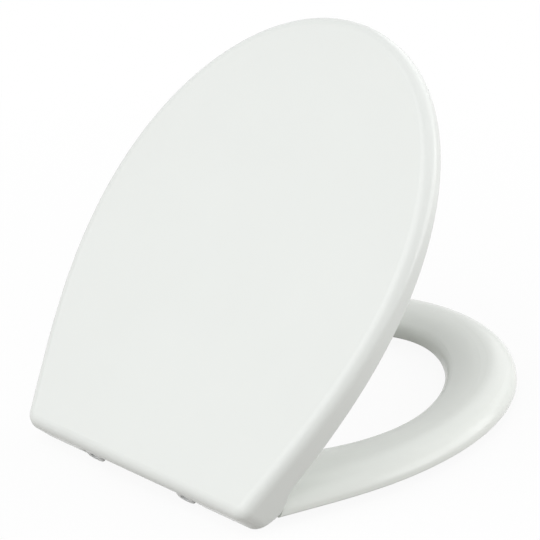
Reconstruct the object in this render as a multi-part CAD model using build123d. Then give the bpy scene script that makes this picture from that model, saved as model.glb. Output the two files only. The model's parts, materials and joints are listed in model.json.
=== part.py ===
from build123d import *

import math
import os

# Toilet seat with a lid, millimetres. Every piece is drawn round the hinge line (x axis, y forward, z up)
# with the seat down, the lid closed and the hinge bodies upright, and is then turned to the shown pose.

# Pose shown
hinge_height = 25.5  # hinge line above the bowl
lid_angle = 49.2  # lid above the seat
lid_opening = 105.0  # lid against the hinge bodies' stop faces

# Lid
lid_half_width = 176.8
lid_widest = 195.2  # widest place, ahead of the hinge line
lid_front = 427.3
lid_rear = 17.7  # rear wall, behind the hinge line
lid_rear_half_width = 133.4
lid_side_slope = 16.3  # degrees outward at the rear end of a side
lid_side_handle = 76.6
lid_nose_fullness = 0.568
lid_corner_radius = 15.0
lid_top = 18.6  # edge of the top, above the hinge line
lid_crown = 1.5  # rise of the top's middle above its edge
pole_turn = 60.0  # degrees that the crown ball's pole lies aside from the top
lid_wall = 4.0
lid_edge_radius = 10.5
rim_round = 1.5
rim_front = 1.2  # rim height at the front, from the hinge line
rim_front_handle = 190.0
rim_rear_handle = 100.0
rim_rear_rise = 6.0  # over the rear handle
ear_root = 30.0
ear_root_height = -13.8
ear_tip = 5.0
ear_tip_height = -23.0
ear_root_ease = 0.45  # shares of the ear's length that its curves run straight on
ear_front_ease = 0.4
ear_rear_ease = 0.3
wall_ease = 0.35
rim_rear_end = -14.7
rim_overrun = 5.0  # rim curve carried on behind the rear wall
cutout_height = 8.3  # edge of the rear wall between the lugs

# Seat ring
seat_bottom = -16.1
seat_top = 3.2
seat_side_inset = 2.3  # inside the lid's outline
seat_front_inset = 6.6
seat_rear_inset = 1.4
seat_rear = 0.0
seat_side_handle = 75.0
ring_outer_run = 18.0  # slope of the dome's outer side, then its rounding below and above
ring_outer_drop = 7.0
ring_outer_round = 15.0
ring_outer_crown = 45.0
ring_inner_run = 20.0
ring_inner_drop = 8.0
ring_inner_round = 10.5
ring_inner_crown = 65.0
ring_lower_round = 1.5
notch_radius = 26.4  # ring cut round the hinge line beside the tongue, clear of the turning lid
ring_side_band = 62.2
ring_front_band = 64.7
hole_centre = 207.5
hole_rear_reach = 158.7
hole_fullness = 0.496

# Hinge stations along x, measured from the middle
side_gap = 0.4
tongue_half_width = 42.7
hinge_width = 26.0
lug_width = 32.6
knuckle_radius = 12.5

# Hinge bodies
hinge_radius = 13.0
foot_depth = 17.5  # foot face below the hinge line
foot_width = 20.0
foot_front = 13.2
foot_bulge = 2.8
foot_corner_radius = 4.0
foot_edge_round = 2.0
foot_tail = 39.0  # stock behind the foot's front, trimmed by the stop face
stop_gap = 0.4
socket_radius = 4.1
socket_depth = 9.5
socket_forward = 6.0

# Pins, bushes and dampers
shaft_radius = 4.0
shaft_flat = 3.0
shaft_reach = 11.0  # into a hinge body
press_gap = 0.02
running_gap = 0.06
bush_wall = 1.6
bush_length = 24.0
head_radius = 6.5
head_length = 2.5
barrel_radius = 8.0
barrel_flat = 7.0
barrel_length = 30.0
barrel_wall = 2.0
barrel_end = 2.5
rib_root = 0.5  # rib sunk into the barrel's wall
cap_length = 4.0
seal_radius = 0.9
vane_width = 3.0
rib_width = 4.0
end_gap = 0.2

# Buffers
seat_buffer_length = 34.0
seat_buffer_width = 15.0
seat_buffer_round = 2.0
buffer_stem_radius = 4.0
buffer_stem_length = 6.0
front_buffer_setback = 74.7  # from the seat's front
front_buffer_inset = 86.5  # from the seat's side
front_buffer_turn = 142.0
rear_buffer_ahead = 78.0
rear_buffer_inset = 68.5
rear_buffer_turn = 68.0
lid_buffer_radius = 8.0
lid_buffer_setback = 75.3  # from the lid's front
lid_buffer_inset = 96.8  # from the lid's side
lid_boss_height = 4.0

seat_half_width = lid_half_width - seat_side_inset
seat_front = lid_front - seat_front_inset
seat_rear_half_width = lid_rear_half_width - seat_rear_inset
hole_half_width = seat_half_width - ring_side_band
hole_front_reach = seat_front - ring_front_band - hole_centre
front_buffer_place = (seat_half_width - front_buffer_inset, seat_front - front_buffer_setback)
rear_buffer_place = (seat_half_width - rear_buffer_inset, rear_buffer_ahead)
lid_buffer_place = (lid_half_width - lid_buffer_inset, lid_front - lid_buffer_setback)
hinge_inner = tongue_half_width + side_gap
hinge_outer = hinge_inner + hinge_width
lug_inner = hinge_outer + side_gap
lug_outer = lug_inner + lug_width
hinge_middle = (hinge_inner + hinge_outer) / 2
bore_radius = barrel_radius - barrel_wall
bush_radius = shaft_radius + running_gap + bush_wall
reach = 600.0  # longer than any piece
depth = 60.0  # deeper than the lid
edge_slack = 0.05


def mirrored(edges):
    return [mirror(edge, about=Plane.YZ) for edge in edges]


def oval(rear, rear_half_width, half_width, front, handle):
    """Plan of the lid or the seat: straight rear edge, flaring sides, round nose."""
    slope = math.radians(lid_side_slope)
    start = (rear_half_width, -rear)
    swing = (start[0] + handle * math.sin(slope), start[1] + handle * math.cos(slope))
    widest = (half_width, lid_widest)
    nose = lid_nose_fullness
    side = Bezier(start, swing, (half_width, lid_widest - handle), widest)
    shoulder = (half_width, lid_widest + nose * (front - lid_widest))
    tip = Bezier(widest, shoulder, (nose * half_width, front), (0, front))
    rear_edge = Line((-rear_half_width, -rear), start)
    return make_face([rear_edge, side, tip] + mirrored([side, tip]))


def hole_plan():
    """Egg-shaped hole: a longer rear half, slightly pointed quarters."""
    full = hole_fullness
    width = hole_half_width
    quarters = []
    for run in (hole_front_reach, -hole_rear_reach):
        side = (width, hole_centre)
        end = (0, hole_centre + run)
        quarters.append(Bezier(side, (width, hole_centre + full * run), (full * width, end[1]), end))
    return make_face(quarters + mirrored(quarters))


def slab(plan, low, high):
    return extrude(Pos(0, 0, low) * plan, high - low)


def bar(radius, start, end):
    """Round bar along x between two stations."""
    return Pos((start + end) / 2, 0, 0) * Cylinder(radius, abs(end - start), rotation=(0, 90, 0))


def flatted_bar(radius, flat, start, end):
    """Round bar along x with one flat on its upper side."""
    height = 2 * radius
    trim = Pos((start + end) / 2, 0, flat + height / 2) * Box(abs(end - start), 2 * height, height)
    return bar(radius, start, end) - trim


def across(profile, half_length):
    """Solid from a profile drawn on the y-z plane, running equally to both sides of the middle."""
    return extrude(profile, half_length, both=True)


def rim_space():
    """Everything below the lid's rim: a long easy curve, then the ear and the rear wall."""
    ear_length = ear_root - ear_tip
    root_run = ear_root_ease * ear_length
    root_fall = root_run * rim_rear_rise / rim_rear_handle
    front = (0, lid_front, rim_front)
    front_pull = (0, lid_front - rim_front_handle, rim_front)
    root_pull = (0, ear_root + rim_rear_handle, ear_root_height + rim_rear_rise)
    root = (0, ear_root, ear_root_height)
    root_turn = (0, ear_root - root_run, ear_root_height - root_fall)
    tip_turn = (0, ear_tip + ear_front_ease * ear_length, ear_tip_height)
    tip = (0, ear_tip, ear_tip_height)
    tip_leave = (0, ear_tip - ear_rear_ease * ear_length, ear_tip_height)
    wall_pull = (0, -wall_ease * lid_rear, (ear_tip_height + rim_rear_end) / 2)
    wall = (0, -lid_rear - rim_overrun, rim_rear_end)
    far_front = (0, reach, rim_front)
    far_rear = (0, -reach, rim_rear_end)
    edge = [
        Line(far_front, front),
        Bezier(front, front_pull, root_pull, root),
        Bezier(root, root_turn, tip_turn, tip),
        Bezier(tip, tip_leave, wall_pull, wall),
        Polyline(wall, far_rear, (0, -reach, -reach), (0, reach, -reach), far_front),
    ]
    return across(make_face(edge), reach)


def lid_block(inset, top):
    """The lid's outline, or the same drawn in by the wall, from below the rim up to a level top."""
    plan = oval(
        lid_rear - inset,
        lid_rear_half_width - inset,
        lid_half_width - inset,
        lid_front - inset,
        lid_side_handle,
    )
    plan = fillet(plan.vertices().group_by(Axis.Y)[0], lid_corner_radius - inset)
    return slab(plan, -depth - inset, top)


def crown_ball():
    """Ball whose cap is the lid's top, rising over the mean of half the width and half the length."""
    half_length = (lid_front + lid_rear) / 2
    half_span = (lid_half_width + half_length) / 2
    radius = (half_span**2 + lid_crown**2) / (2 * lid_crown)
    middle = Pos(0, (lid_front - lid_rear) / 2, lid_top + lid_crown - radius)
    return middle * Sphere(radius, rotation=(0, pole_turn, 0))


def eased_top(block, radius):
    return fillet(block.faces().sort_by(Axis.Z)[-1].edges(), radius)


def lid_shell():
    """Crowned outside, flat inside, cut off along the rim and opened at the rear between the lugs."""
    outer = eased_top(lid_block(0, depth) & crown_ball(), lid_edge_radius)
    inner = eased_top(lid_block(lid_wall, lid_top - lid_wall), lid_edge_radius - lid_wall)
    blank = outer - inner
    below = rim_space()
    shell = blank - below
    shell = fillet(new_edges(blank, below, combined=shell), rim_round)
    cutout = Pos(0, -reach / 2, cutout_height - reach / 2) * Box(2 * lug_inner, reach, reach)
    return shell - cutout


def lug(side):
    """Hinge lug of the lid: a knuckle hung from the top plate and tied to the rear wall."""
    start = side * lug_inner
    end = side * lug_outer
    back = lid_rear - lid_wall / 2
    rise = lid_top - lid_wall / 2
    place = Pos((start + end) / 2, (knuckle_radius - back) / 2, rise / 2)
    web = place * Box(lug_width, knuckle_radius + back, rise)
    rear_edge = web.edges().filter_by(Axis.X).group_by(Axis.Z)[-1].sort_by(Axis.Y)[0]
    web = fillet(rear_edge, lid_edge_radius - lid_wall / 2)
    return bar(knuckle_radius, start, end) + web


def lid_boss(side):
    x, y = lid_buffer_place
    low = lid_top - lid_wall - lid_boss_height
    boss = Pos(side * x, y, 0) * slab(Circle(lid_buffer_radius), low, lid_top - lid_wall / 2)
    hole = Pos(side * x, y, 0) * slab(Circle(buffer_stem_radius), low, low + buffer_stem_length)
    return boss, hole


def make_lid():
    lid = lid_shell() + lug(1) + lug(-1)
    for side in (1, -1):
        boss, hole = lid_boss(side)
        lid = lid + boss - hole
    lid -= flatted_bar(barrel_radius + press_gap, barrel_flat + press_gap, lug_inner, lug_outer)
    lid -= bar(bush_radius + press_gap, -lug_inner, -lug_outer)
    return lid


def make_lid_buffer(side):
    """Round pad on a stem, standing on the seat's crown when the lid is down."""
    x, y = lid_buffer_place
    low = lid_top - lid_wall - lid_boss_height
    pad = slab(Circle(lid_buffer_radius), seat_top + side_gap, low)
    pad = fillet(pad.edges().group_by(Axis.Z)[0], seat_buffer_round)
    stem_radius = buffer_stem_radius - press_gap
    stem = slab(Circle(stem_radius), low, low + buffer_stem_length - end_gap)
    return Pos(side * x, y, 0) * (pad + stem)


def buffer_place(place, turn, side):
    """Place on the seat's underside, mirrored for the left."""
    return Pos(side * place[0], place[1], 0) * Rot(0, 0, turn if side > 0 else 180 - turn)


def outer_loop(face):
    """Side and nose edges of the ring's top, without the straight rear edge."""
    return face.outer_wire().edges().sort_by(Axis.Y)[1:]


def inner_loop(face):
    return face.inner_wires()[0].edges()


def domed(ring, loop, run, drop, foot_round, crown_round):
    """Slopes the ring's top along a loop of edges and rounds the slope's head and foot."""
    top = ring.faces().sort_by(Axis.Z)[-1]
    ring = chamfer(loop(top), run, drop, reference=top)
    ring = fillet(loop(ring.faces().sort_by(Axis.Z)[-1]), crown_round)
    foot = seat_top - drop
    return fillet(ring.edges().filter_by_position(Axis.Z, foot - edge_slack, foot + edge_slack), foot_round)


def make_seat():
    plan = oval(seat_rear, seat_rear_half_width, seat_half_width, seat_front, seat_side_handle)
    ring = slab(plan, seat_bottom, seat_top)
    ring = domed(ring, outer_loop, ring_outer_run, ring_outer_drop, ring_outer_round, ring_outer_crown)
    ring -= slab(hole_plan(), seat_bottom, seat_top)
    ring = domed(ring, inner_loop, ring_inner_run, ring_inner_drop, ring_inner_round, ring_inner_crown)
    under = ring.faces().sort_by(Axis.Z)[0]
    ring = fillet(under.edges(), ring_lower_round)
    seat = ring - bar(notch_radius, tongue_half_width, reach) - bar(notch_radius, -tongue_half_width, -reach)
    seat += bar(knuckle_radius, -tongue_half_width, tongue_half_width)
    damper_end = barrel_length - tongue_half_width
    seat -= flatted_bar(barrel_radius + press_gap, barrel_flat + press_gap, -tongue_half_width, damper_end)
    seat -= bar(bush_radius + press_gap, tongue_half_width, tongue_half_width - bush_length)
    for place, turn in ((front_buffer_place, front_buffer_turn), (rear_buffer_place, rear_buffer_turn)):
        for side in (1, -1):
            hole = slab(Circle(buffer_stem_radius), seat_bottom, seat_bottom + buffer_stem_length)
            seat -= buffer_place(place, turn, side) * hole
    return seat


def make_seat_buffer(place, turn, side):
    """Oblong pad between the ring and the bowl, held by a stem."""
    plan = SlotOverall(seat_buffer_length, seat_buffer_width)
    pad = slab(plan, -hinge_height, seat_bottom)
    pad = fillet(pad.edges().group_by(Axis.Z)[0], seat_buffer_round)
    stem_radius = buffer_stem_radius - press_gap
    stem = slab(Circle(stem_radius), seat_bottom, seat_bottom + buffer_stem_length - end_gap)
    return buffer_place(place, turn, side) * (pad + stem)


def hinge_blank():
    """Knuckle with a forward foot; its slanted rear face stops against the edge of the lid's cut-out."""
    half = foot_width / 2
    side_front = foot_front - foot_bulge
    back = side_front - foot_tail
    outline = [
        Line((-half, back), (half, back)),
        Line((half, back), (half, side_front)),
        ThreePointArc((half, side_front), (0, foot_front), (-half, side_front)),
        Line((-half, side_front), (-half, back)),
    ]
    foot = slab(make_face(outline), -foot_depth, 0)
    foot = fillet(foot.edges().filter_by(Axis.Z).group_by(Axis.Y)[-1], foot_corner_radius)
    foot = fillet(foot.faces().filter_by(Axis.Z).edges(), foot_edge_round)
    stop = cutout_height - stop_gap
    behind = Rot(lid_opening, 0, 0) * Pos(0, 0, stop + reach / 2) * Box(reach, reach, reach)
    return bar(hinge_radius, -hinge_width / 2, hinge_width / 2) + (foot - behind)


def make_hinge_body(side):
    """Left body: seat damper inside, lid pin outside. Right body: the other way round."""
    damper_mouth, pin_mouth = (-hinge_inner, -hinge_outer) if side < 0 else (hinge_outer, hinge_inner)
    inward = 1 if pin_mouth < damper_mouth else -1
    body = Pos(side * hinge_middle, 0, 0) * hinge_blank()
    flat_end = damper_mouth - inward * (shaft_reach + end_gap)
    body -= flatted_bar(shaft_radius + press_gap, shaft_flat + press_gap, damper_mouth, flat_end)
    body -= bar(shaft_radius + press_gap, pin_mouth, pin_mouth + inward * (shaft_reach + end_gap))
    socket = slab(Circle(socket_radius), -foot_depth, socket_depth - foot_depth)
    return body - Pos(side * hinge_middle, socket_forward, 0) * socket


def damper_pieces():
    """Rotary damper with its shaft leaving along +x and its mouth at x = 0."""
    chamber = barrel_length - barrel_end
    seal_room = 2 * seal_radius + end_gap
    rib_end = cap_length + seal_room
    core_radius = shaft_radius + running_gap
    barrel = flatted_bar(barrel_radius, barrel_flat, -barrel_length, 0)
    barrel -= bar(bore_radius, -chamber, 0)
    rib_low = core_radius + running_gap
    rib_height = bore_radius + rib_root - rib_low
    rib_length = chamber - rib_end
    rib_place = -(chamber + rib_end) / 2
    rib = Pos(rib_place, 0, -rib_low - rib_height / 2) * Box(rib_length, rib_width, rib_height)
    cap = bar(bore_radius - press_gap, -cap_length, 0) - bar(shaft_radius + running_gap, -cap_length, 0)
    vane_top = math.sqrt((bore_radius - running_gap) ** 2 - (vane_width / 2) ** 2)
    vane_length = rib_length - end_gap
    vane = Pos(rib_place, 0, vane_top / 2) * Box(vane_length, vane_width, vane_top)
    rotor = bar(core_radius, end_gap - chamber, -rib_end) + vane
    rotor += bar(shaft_radius, -rib_end, side_gap)
    rotor += flatted_bar(shaft_radius, shaft_flat, side_gap, side_gap + shaft_reach)
    ring_radius = shaft_radius + press_gap + seal_radius
    seal = Torus(ring_radius, seal_radius, rotation=(0, 90, 0))
    seal = Pos(-cap_length - seal_radius - end_gap / 2, 0, 0) * seal
    return {"barrel": barrel + rib, "cap": cap, "rotor": rotor, "seal": seal}


def make_pin(mouth, outward, length):
    """Plain pin pressed into a hinge body."""
    return bar(shaft_radius, mouth - outward * shaft_reach, mouth + outward * length)


def make_bush(start, end):
    return bar(bush_radius, start, end) - bar(shaft_radius + running_gap, start, end)


raise_up = Pos(0, 0, hinge_height)
seat_pose = raise_up
lid_pose = raise_up * Rot(lid_angle, 0, 0)
hinge_pose = raise_up * Rot(lid_angle - lid_opening, 0, 0)

pieces = {"seat_ring": seat_pose * make_seat(), "lid": lid_pose * make_lid()}
for name, side in (("left", -1), ("right", 1)):
    pieces["hinge_body_" + name] = hinge_pose * make_hinge_body(side)
    pieces["lid_buffer_" + name] = lid_pose * make_lid_buffer(side)
    for end, place, turn in (
        ("front", front_buffer_place, front_buffer_turn),
        ("rear", rear_buffer_place, rear_buffer_turn),
    ):
        pieces[f"seat_buffer_{end}_{name}"] = seat_pose * make_seat_buffer(place, turn, side)

# The seat's damper leaves the tongue on the left, the lid's damper leaves its lug on the right
damper = damper_pieces()
seat_mouth = Pos(-tongue_half_width, 0, 0) * Rot(0, 0, 180)
lid_mouth = Pos(lug_inner, 0, 0) * Rot(0, 0, 180)
for owner, mouth, pose in (("seat", seat_mouth, seat_pose), ("lid", lid_mouth, lid_pose)):
    for name, solid in damper.items():
        carrier = hinge_pose if name in ("rotor", "seal") else pose
        pieces[f"{owner}_damper_{name}"] = carrier * mouth * solid

lid_pin_length = side_gap + lug_width + end_gap
lid_pin = make_pin(-hinge_outer, -1, lid_pin_length)
lid_pin += bar(head_radius, -lug_outer - end_gap, -lug_outer - end_gap - head_length)
pieces["lid_pivot_pin"] = hinge_pose * lid_pin
pieces["lid_pivot_bush"] = lid_pose * make_bush(-lug_inner, -lug_outer)
pieces["seat_pivot_pin"] = hinge_pose * make_pin(hinge_inner, -1, side_gap + bush_length - end_gap)
pieces["seat_pivot_bush"] = seat_pose * make_bush(tongue_half_width, tongue_half_width - bush_length)

os.makedirs("parts", exist_ok=True)
for name, solid in pieces.items():
    export_step(solid, f"parts/{name}.step")
    print(name, round(solid.volume))
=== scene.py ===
import json
import math

import bpy
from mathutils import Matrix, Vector

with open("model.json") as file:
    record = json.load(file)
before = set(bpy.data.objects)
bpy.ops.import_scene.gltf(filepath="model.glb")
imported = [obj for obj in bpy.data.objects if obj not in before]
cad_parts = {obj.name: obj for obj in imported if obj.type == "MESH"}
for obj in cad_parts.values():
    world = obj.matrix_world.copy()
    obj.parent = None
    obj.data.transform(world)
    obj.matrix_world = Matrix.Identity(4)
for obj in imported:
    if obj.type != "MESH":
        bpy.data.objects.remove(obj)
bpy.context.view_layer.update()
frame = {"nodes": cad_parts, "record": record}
nodes = frame["nodes"]
record = frame["record"]
scene = bpy.context.scene
scene.view_settings.view_transform = "Standard"
lidTilt = -math.radians(record["behaviour"]["joints"][0]["range_deg"][0])  # lid above the seat, as shown
print("frame loaded:", len(nodes), "nodes")


# Shader helpers

def newMaterial(name):
    material = bpy.data.materials.new(name)
    material.use_nodes = True
    tree = material.node_tree
    return material, tree, tree.nodes["Principled BSDF"]


def addNode(tree, kind, **inputs):
    node = tree.nodes.new(kind)
    for key, value in inputs.items():
        node.inputs[key].default_value = value
    return node


def coordsOf(tree, stretch=None):
    coords = tree.nodes.new("ShaderNodeTexCoord").outputs["Object"]
    if stretch is None:
        return coords
    mapping = addNode(tree, "ShaderNodeMapping", Scale=stretch)
    tree.links.new(coords, mapping.inputs["Vector"])
    return mapping.outputs["Vector"]


def noiseOf(tree, coords, scale, detail):
    node = addNode(tree, "ShaderNodeTexNoise", Scale=scale, Detail=detail)
    tree.links.new(coords, node.inputs["Vector"])
    return node.outputs["Fac"]


# The ramps start and end where most of a noise lies, unless a call says otherwise
noiseSpan = (0.3, 0.7)


def rampOf(tree, factor, low, high, span=noiseSpan):
    node = tree.nodes.new("ShaderNodeValToRGB")
    for element, position, colour in zip(node.color_ramp.elements, span, (low, high)):
        element.position = position
        element.color = (*colour, 1.0)
    tree.links.new(factor, node.inputs["Fac"])
    return node.outputs["Color"]


def rangeOf(tree, factor, low, high, span=noiseSpan):
    node = tree.nodes.new("ShaderNodeMapRange")
    node.inputs["From Min"].default_value = span[0]
    node.inputs["From Max"].default_value = span[1]
    node.inputs["To Min"].default_value = low
    node.inputs["To Max"].default_value = high
    tree.links.new(factor, node.inputs["Value"])
    return node.outputs["Result"]


def bumpOf(tree, height, relief, below=None):  # relief in metres
    node = addNode(tree, "ShaderNodeBump", Strength=1.0, Distance=relief)
    tree.links.new(height, node.inputs["Height"])
    if below is not None:
        tree.links.new(below, node.inputs["Normal"])
    return node.outputs["Normal"]


def facing(tree, way, span):  # 1 where the surface itself looks along way, 0 where it looks elsewhere
    normal = tree.nodes.new("ShaderNodeTexCoord").outputs["Normal"]
    dot = tree.nodes.new("ShaderNodeVectorMath")
    dot.operation = "DOT_PRODUCT"
    dot.inputs[1].default_value = way
    tree.links.new(normal, dot.inputs[0])
    return rangeOf(tree, dot.outputs["Value"], 0.0, 1.0, span)


def mixOf(tree, factor, first, second):
    node = tree.nodes.new("ShaderNodeMix")
    tree.links.new(factor, node.inputs[0])
    tree.links.new(first, node.inputs[2])
    tree.links.new(second, node.inputs[3])
    return node.outputs[0]


# Polished white moulding: tone that drifts slowly, gloss that varies a little, long waves and orange peel
# in the skin; the side that the mould's core made is duller
polish = {
    "driftScale": 9.0,  # of the tone
    "glossScale": 22.0,
    "gloss": (0.22, 0.25),
    "coreScale": 140.0,  # of the gloss on the core's side
    "coreGloss": (0.3, 0.38),
    "coreTurn": (0.25, 0.65),  # how far a surface faces the core before it is the core's
    "peel": {"scale": 90.0, "relief": 0.00001},
    "ior": 1.5,
}


def polishedMoulding(name, tone, shade, coreWay, waves):
    material, tree, shader = newMaterial(name)
    coords = coordsOf(tree)
    drift = noiseOf(tree, coords, polish["driftScale"], detail=3.0)
    tree.links.new(rampOf(tree, drift, shade, tone), shader.inputs["Base Color"])
    outside = rangeOf(tree, noiseOf(tree, coords, polish["glossScale"], detail=2.0), *polish["gloss"])
    inside = rangeOf(tree, noiseOf(tree, coords, polish["coreScale"], detail=3.0), *polish["coreGloss"])
    core = facing(tree, coreWay, polish["coreTurn"])
    tree.links.new(mixOf(tree, core, outside, inside), shader.inputs["Roughness"])
    wavy = bumpOf(tree, noiseOf(tree, coords, waves["scale"], detail=1.0), waves["relief"])
    peel = noiseOf(tree, coords, polish["peel"]["scale"], detail=1.0)
    tree.links.new(bumpOf(tree, peel, polish["peel"]["relief"], wavy), shader.inputs["Normal"])
    shader.inputs["IOR"].default_value = polish["ior"]
    return material


lidWhite = {
    "tone": (0.882, 0.908, 0.883),
    "shade": (0.87, 0.896, 0.871),
    "coreWay": (0.0, math.sin(lidTilt), -math.cos(lidTilt)),
    "waves": {"scale": 12.0, "relief": 0.00015},
}
seatWhite = {
    "tone": (0.88, 0.907, 0.868),
    "shade": (0.868, 0.895, 0.856),
    "coreWay": (0.0, 0.0, -1.0),
    "waves": {"scale": 14.0, "relief": 0.00015},
}


# Plain mouldings: a drifting tone, an uneven gloss and a fine grain, stretched where the melt flowed
glossPatch = 3  # the gloss changes over patches this many grains wide


def grainedMoulding(name, tone, shade, gloss, grain, stretch=None, sheen=0.0):
    material, tree, shader = newMaterial(name)
    coords = coordsOf(tree, stretch)
    drift = noiseOf(tree, coords, grain["drift"], detail=3.0)
    tree.links.new(rampOf(tree, drift, shade, tone), shader.inputs["Base Color"])
    patches = noiseOf(tree, coords, grain["scale"] / glossPatch, detail=3.0)
    tree.links.new(rangeOf(tree, patches, *gloss), shader.inputs["Roughness"])
    skin = bumpOf(tree, noiseOf(tree, coords, grain["scale"], detail=2.0), grain["relief"])
    tree.links.new(skin, shader.inputs["Normal"])
    shader.inputs["Sheen Weight"].default_value = sheen
    return material


hingeSatin = {
    "tone": (0.885, 0.9, 0.9),
    "shade": (0.86, 0.875, 0.875),
    "gloss": (0.36, 0.46),
    "grain": {"drift": 60.0, "scale": 700.0, "relief": 0.00003},
}
bufferRubber = {
    "tone": (0.8, 0.8, 0.775),
    "shade": (0.76, 0.76, 0.735),
    "gloss": (0.52, 0.68),
    "grain": {"drift": 110.0, "scale": 900.0, "relief": 0.00005},
    "sheen": 0.15,
}
damperGrey = {
    "tone": (0.36, 0.37, 0.39),
    "shade": (0.3, 0.31, 0.33),
    "gloss": (0.38, 0.5),
    "grain": {"drift": 120.0, "scale": 900.0, "relief": 0.00002},
    "stretch": (0.15, 1.0, 1.0),
}
rotorNatural = {
    "tone": (0.64, 0.64, 0.61),
    "shade": (0.58, 0.58, 0.55),
    "gloss": (0.34, 0.44),
    "grain": {"drift": 120.0, "scale": 900.0, "relief": 0.00002},
    "stretch": (0.2, 1.0, 1.0),
}
sealBlack = {
    "tone": (0.055, 0.055, 0.055),
    "shade": (0.035, 0.035, 0.035),
    "gloss": (0.5, 0.62),
    "grain": {"drift": 300.0, "scale": 1500.0, "relief": 0.00002},
    "sheen": 0.1,
}
bushNatural = {
    "tone": (0.83, 0.83, 0.79),
    "shade": (0.79, 0.79, 0.75),
    "gloss": (0.3, 0.4),
    "grain": {"drift": 120.0, "scale": 900.0, "relief": 0.00002},
}


# Turned steel: fine rings round the pin and a slightly uneven polish

def turnedSteel(name, tone, shade, gloss, rings, brushed):
    material, tree, shader = newMaterial(name)
    coords = coordsOf(tree, rings["stretch"])
    cut = noiseOf(tree, coords, rings["scale"], detail=2.0)
    tree.links.new(rampOf(tree, cut, shade, tone), shader.inputs["Base Color"])
    tree.links.new(rangeOf(tree, cut, *gloss), shader.inputs["Roughness"])
    tree.links.new(bumpOf(tree, cut, rings["relief"]), shader.inputs["Normal"])
    shader.inputs["Metallic"].default_value = 1.0
    shader.inputs["Anisotropic"].default_value = brushed
    return material


pinSteel = {
    "tone": (0.64, 0.65, 0.66),
    "shade": (0.56, 0.57, 0.58),
    "gloss": (0.29, 0.37),
    "rings": {"stretch": (1.0, 0.02, 0.02), "scale": 1200.0, "relief": 0.00001},
    "brushed": 0.4,
}

finishes = {
    "lid_plastic": polishedMoulding("lidGloss", **lidWhite),
    "seat_plastic": polishedMoulding("seatGloss", **seatWhite),
    "hinge_plastic": grainedMoulding("hingeSatin", **hingeSatin),
    "buffer_rubber": grainedMoulding("bufferRubber", **bufferRubber),
    "damper_plastic": grainedMoulding("damperGrey", **damperGrey),
    "rotor_plastic": grainedMoulding("rotorNatural", **rotorNatural),
    "seal_rubber": grainedMoulding("sealBlack", **sealBlack),
    "bush_plastic": grainedMoulding("bushNatural", **bushNatural),
    "pin_steel": turnedSteel("pinSteel", **pinSteel),
}
for row in record["subparts"]:
    mesh = nodes[row["node"]].data
    mesh.materials.clear()
    mesh.materials.append(finishes[row["material_slot"]])
print("finishes done:", len(finishes))


# Studio: pale floor, even sky, soft panels, camera on the view of the picture

studio = {
    "middle": (0.0, 0.16, 0.15),  # what the panels are turned to
    "floorReach": 6.0,
    "floorTone": (0.98, 0.98, 0.98),  # as it is seen
    "floorBounce": (0.3, 0.285, 0.264),  # as it lights the underside of things
    "floorGlow": 0.92,  # share of plain white in the floor near the seat; the rest takes the shadow
    "shadowReach": (0.3, 0.85),  # from here to there the floor goes over to plain white
    "skyTone": (1.0, 1.0, 1.0),
    "skyPower": 0.475,
    "panelDistance": 2.4,
}
panels = {
    "keyPanel": {"azimuth": 3.3, "elevation": 44.0, "wide": 2.4, "tall": 2.4, "power": 21.5},
    "fillPanel": {"azimuth": 333.3, "elevation": 44.0, "wide": 2.4, "tall": 2.4, "power": 8.2},
    "sidePanel": {"azimuth": 135.3, "elevation": 12.0, "wide": 2.2, "tall": 1.4, "power": 20.5},
    "backPanel": {"azimuth": 180.3, "elevation": 30.0, "wide": 2.4, "tall": 1.8, "power": 12.0},
    "rearPanel": {"azimuth": 10.0, "elevation": 7.0, "wide": 2.2, "tall": 0.5, "power": 6.5},
    "lowPanel": {"azimuth": 103.3, "elevation": 5.0, "wide": 2.2, "tall": 0.3, "power": 3.5},
}
view = {
    "target": (-0.0001, 0.15589, 0.15359),
    "azimuth": 43.2824,
    "elevation": 24.7889,
    "distance": 2.937,
    "focalPixels": 3306.38,
    "imageWidth": 540,
    "sensor": 36.0,
    "farthest": 50.0,
}


# 1 for what the camera, a reflection or a clear body shows, 0 for light that falls on things
def seenDirectly(tree):
    path = tree.nodes.new("ShaderNodeLightPath")
    total = path.outputs["Is Camera Ray"]
    for name in ("Is Glossy Ray", "Is Transmission Ray"):
        both = tree.nodes.new("ShaderNodeMath")
        both.operation = "MAXIMUM"
        tree.links.new(total, both.inputs[0])
        tree.links.new(path.outputs[name], both.inputs[1])
        total = both.outputs[0]
    return total


def mixShaders(tree, factor, first, second):
    mix = tree.nodes.new("ShaderNodeMixShader")
    tree.links.new(factor, mix.inputs["Fac"])
    tree.links.new(first, mix.inputs[1])
    tree.links.new(second, mix.inputs[2])
    return mix.outputs[0]


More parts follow.
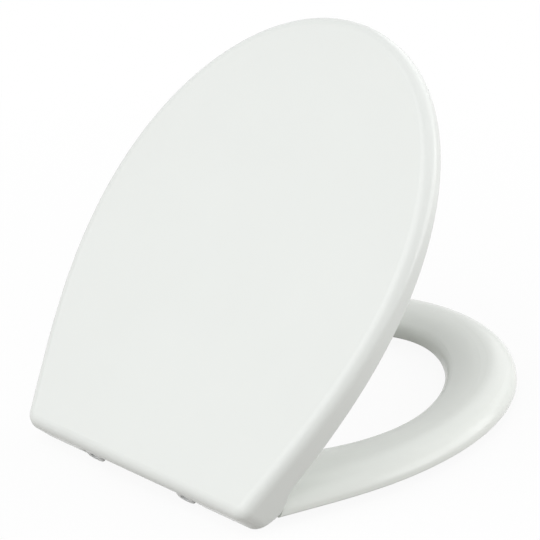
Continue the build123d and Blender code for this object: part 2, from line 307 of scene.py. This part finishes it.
def makeFloor():
    r = studio["floorReach"]
    mesh = bpy.data.meshes.new("floor")
    mesh.from_pydata([(-r, -r, 0), (r, -r, 0), (r, r, 0), (-r, r, 0)], [], [(0, 1, 2, 3)])
    floor = bpy.data.objects.new("floor", mesh)
    scene.collection.objects.link(floor)
    material = bpy.data.materials.new("floorPaper")
    material.use_nodes = True
    tree = material.node_tree
    tree.nodes.clear()
    seen = seenDirectly(tree)
    paper = tree.nodes.new("ShaderNodeBsdfDiffuse")
    tone = rampOf(tree, seen, studio["floorBounce"], studio["floorTone"], (0.0, 1.0))
    tree.links.new(tone, paper.inputs["Color"])
    glow = addNode(tree, "ShaderNodeEmission", Strength=1.0)
    away = tree.nodes.new("ShaderNodeVectorMath")  # distance from the middle of the seat
    away.operation = "DISTANCE"
    away.inputs[1].default_value = (*studio["middle"][:2], 0.0)
    tree.links.new(coordsOf(tree), away.inputs[0])
    fade = rangeOf(tree, away.outputs["Value"], studio["floorGlow"], 1.0, studio["shadowReach"])
    share = tree.nodes.new("ShaderNodeMath")
    share.operation = "MULTIPLY"
    tree.links.new(seen, share.inputs[0])
    tree.links.new(fade, share.inputs[1])
    out = tree.nodes.new("ShaderNodeOutputMaterial")
    surface = mixShaders(tree, share.outputs[0], paper.outputs[0], glow.outputs[0])
    tree.links.new(surface, out.inputs["Surface"])
    mesh.materials.append(material)


def makeSky():
    world = bpy.data.worlds.new("studio")
    scene.world = world
    world.use_nodes = True
    tree = world.node_tree
    tree.nodes.clear()
    tone = (*studio["skyTone"], 1.0)
    light = addNode(tree, "ShaderNodeBackground", Color=tone, Strength=studio["skyPower"])
    white = addNode(tree, "ShaderNodeBackground", Color=(1.0, 1.0, 1.0, 1.0), Strength=1.0)
    out = tree.nodes.new("ShaderNodeOutputWorld")
    surface = mixShaders(tree, seenDirectly(tree), light.outputs[0], white.outputs[0])
    tree.links.new(surface, out.inputs["Surface"])


def wayTo(azimuth, elevation):  # azimuth 0 stands before the seat's rear, 90 to its right
    az = math.radians(azimuth)
    el = math.radians(elevation)
    return Vector((math.sin(az) * math.cos(el), -math.cos(az) * math.cos(el), math.sin(el)))


def softPanel(name, azimuth, elevation, wide, tall, power):
    lamp = bpy.data.lights.new(name, "AREA")
    lamp.shape = "RECTANGLE"
    lamp.size = wide
    lamp.size_y = tall
    lamp.energy = power
    panel = bpy.data.objects.new(name, lamp)
    way = wayTo(azimuth, elevation)
    panel.location = Vector(studio["middle"]) + studio["panelDistance"] * way
    panel.rotation_euler = way.to_track_quat("Z", "Y").to_euler()
    scene.collection.objects.link(panel)


def makeCamera():
    back = wayTo(view["azimuth"], view["elevation"])
    lens = bpy.data.cameras.new("camera")
    lens.sensor_width = view["sensor"]
    lens.lens = view["focalPixels"] * view["sensor"] / view["imageWidth"]
    lens.clip_end = view["farthest"]
    camera = bpy.data.objects.new("camera", lens)
    camera.location = Vector(view["target"]) + view["distance"] * back
    camera.rotation_euler = back.to_track_quat("Z", "Y").to_euler()
    scene.collection.objects.link(camera)
    scene.camera = camera


makeFloor()
makeSky()
for name, panel in panels.items():
    softPanel(name, **panel)
makeCamera()
print("studio done")
